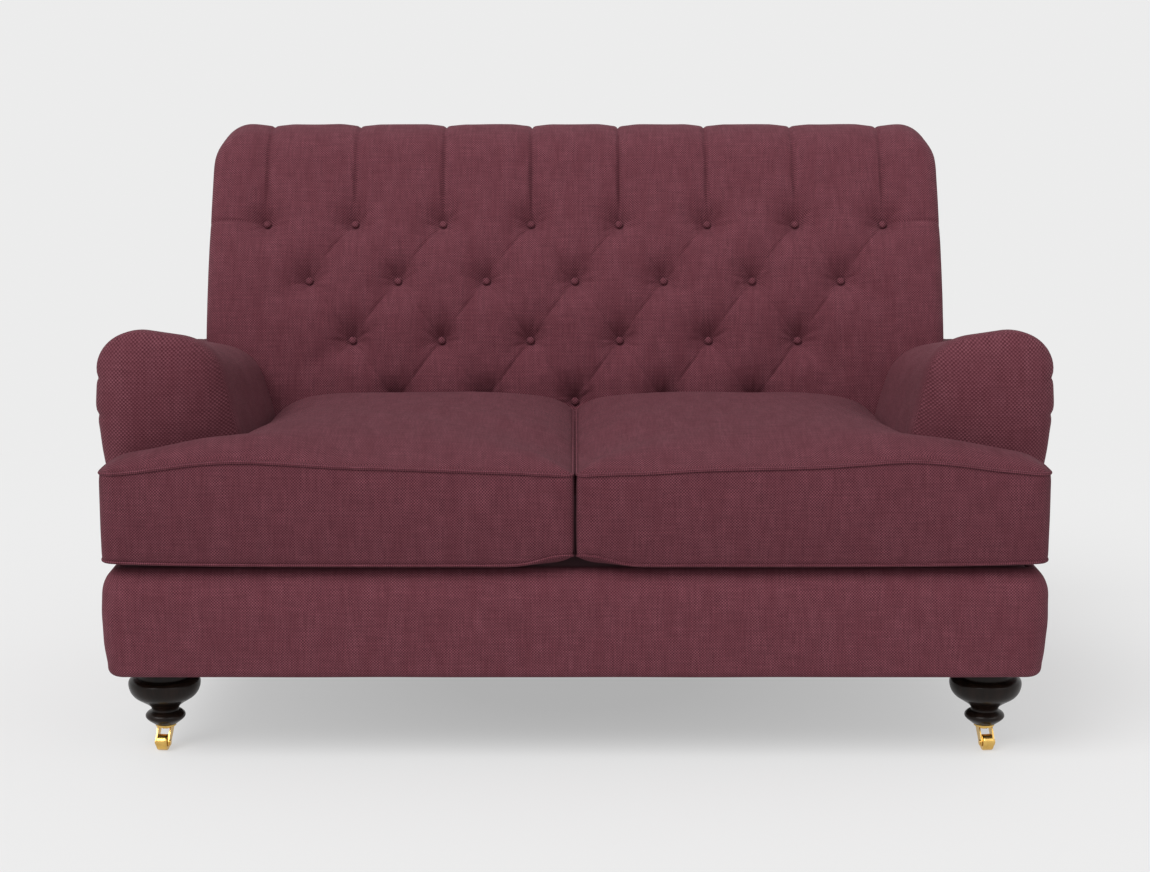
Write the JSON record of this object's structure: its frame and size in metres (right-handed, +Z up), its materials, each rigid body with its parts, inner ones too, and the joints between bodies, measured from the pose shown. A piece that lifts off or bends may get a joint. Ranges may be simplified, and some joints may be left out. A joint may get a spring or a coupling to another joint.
{
  "type": "two-seater sofa",
  "caption": "Two-seater sofa with a deep-buttoned rolled back, low set-back arms, loose T-shaped seat cushions and turned front legs on castors.",
  "frame": {"origin": "on the floor, under the middle of the sofa's overall box", "axes": "+X to the right of someone facing the front, +Y to the back, +Z up"},
  "size_m": [1.489, 0.9659, 0.937],
  "materials": {
    "upholstery": "plum basket-weave cloth",
    "lining": "plain cotton platform cloth",
    "foam": "open-cell foam",
    "webbing": "jute webbing",
    "dust_cloth": "black bottom cloth",
    "brass": "polished",
    "turned_wood": "dark gloss stain",
    "steel": "zinc plated",
    "frame_wood": "bare beech"
  },
  "bodies": {
    "frame": {"arm_bolts": "steel", "back_buttons": "upholstery", "back_centre_post": "frame_wood", "back_lower_rail": "frame_wood", "back_top_rail": "frame_wood", "back_webbing_cross": "webbing", "back_webbing_upright": "webbing", "centre_rail": "frame_wood", "corner_blocks": "frame_wood", "dust_cover": "dust_cloth", "front_border": "upholstery", "front_leg_bolts": "steel", "front_leg_nuts": "steel", "front_rail": "frame_wood", "left_arm_front_post": "frame_wood", "left_arm_lower_rail": "frame_wood", "left_arm_pad": "upholstery", "left_arm_rear_post": "frame_wood", "left_arm_top_rail": "frame_wood", "left_back_post": "frame_wood", "left_border": "upholstery", "left_castor_stem": "brass", "left_front_leg": "turned_wood", "left_rail": "frame_wood", "left_rear_leg": "turned_wood", "outside_back_panel": "upholstery", "rear_border": "upholstery", "rear_leg_screws": "steel", "rear_rail": "frame_wood", "right_arm_front_post": "frame_wood", "right_arm_lower_rail": "frame_wood", "right_arm_pad": "upholstery", "right_arm_rear_post": "frame_wood", "right_arm_top_rail": "frame_wood", "right_back_post": "frame_wood", "right_border": "upholstery", "right_castor_stem": "brass", "right_front_leg": "turned_wood", "right_rail": "frame_wood", "right_rear_leg": "turned_wood", "seat_deck": "lining", "seat_webbing_cross": "webbing", "seat_webbing_long": "webbing", "tufted_back": "upholstery"},
    "left_castor": {"left_castor_fork": "brass", "left_castor_axle": "brass"},
    "left_wheel": {"left_castor_wheel": "brass"},
    "right_castor": {"right_castor_fork": "brass", "right_castor_axle": "brass"},
    "right_wheel": {"right_castor_wheel": "brass"},
    "left_cushion": {"left_seat_cushion": "upholstery", "left_cushion_core": "foam"},
    "right_cushion": {"right_seat_cushion": "upholstery", "right_cushion_core": "foam"}
  },
  "joints": [
    {"name": "left_castor_swivel", "type": "hinge", "parent": "frame", "child": "left_castor", "pos_m": [-0.64, -0.38524, 0.03], "axis": [0, 0, 1], "continuous": true},
    {"name": "left_wheel_spin", "type": "hinge", "parent": "left_castor", "child": "left_wheel", "pos_m": [-0.64188, -0.40315, 0.0125], "axis": [0.9945, -0.1045, 0], "continuous": true},
    {"name": "left_cushion_lift", "type": "slide", "parent": "frame", "child": "left_cushion", "axis": [0, 0, 1], "range_m": [0, 0.35]},
    {"name": "right_castor_swivel", "type": "hinge", "parent": "frame", "child": "right_castor", "pos_m": [0.64, -0.38524, 0.03], "axis": [0, 0, 1], "continuous": true},
    {"name": "right_wheel_spin", "type": "hinge", "parent": "right_castor", "child": "right_wheel", "pos_m": [0.64188, -0.40315, 0.0125], "axis": [0.9945, 0.1045, 0], "continuous": true},
    {"name": "right_cushion_lift", "type": "slide", "parent": "frame", "child": "right_cushion", "axis": [0, 0, 1], "range_m": [0, 0.35]}
  ]
}
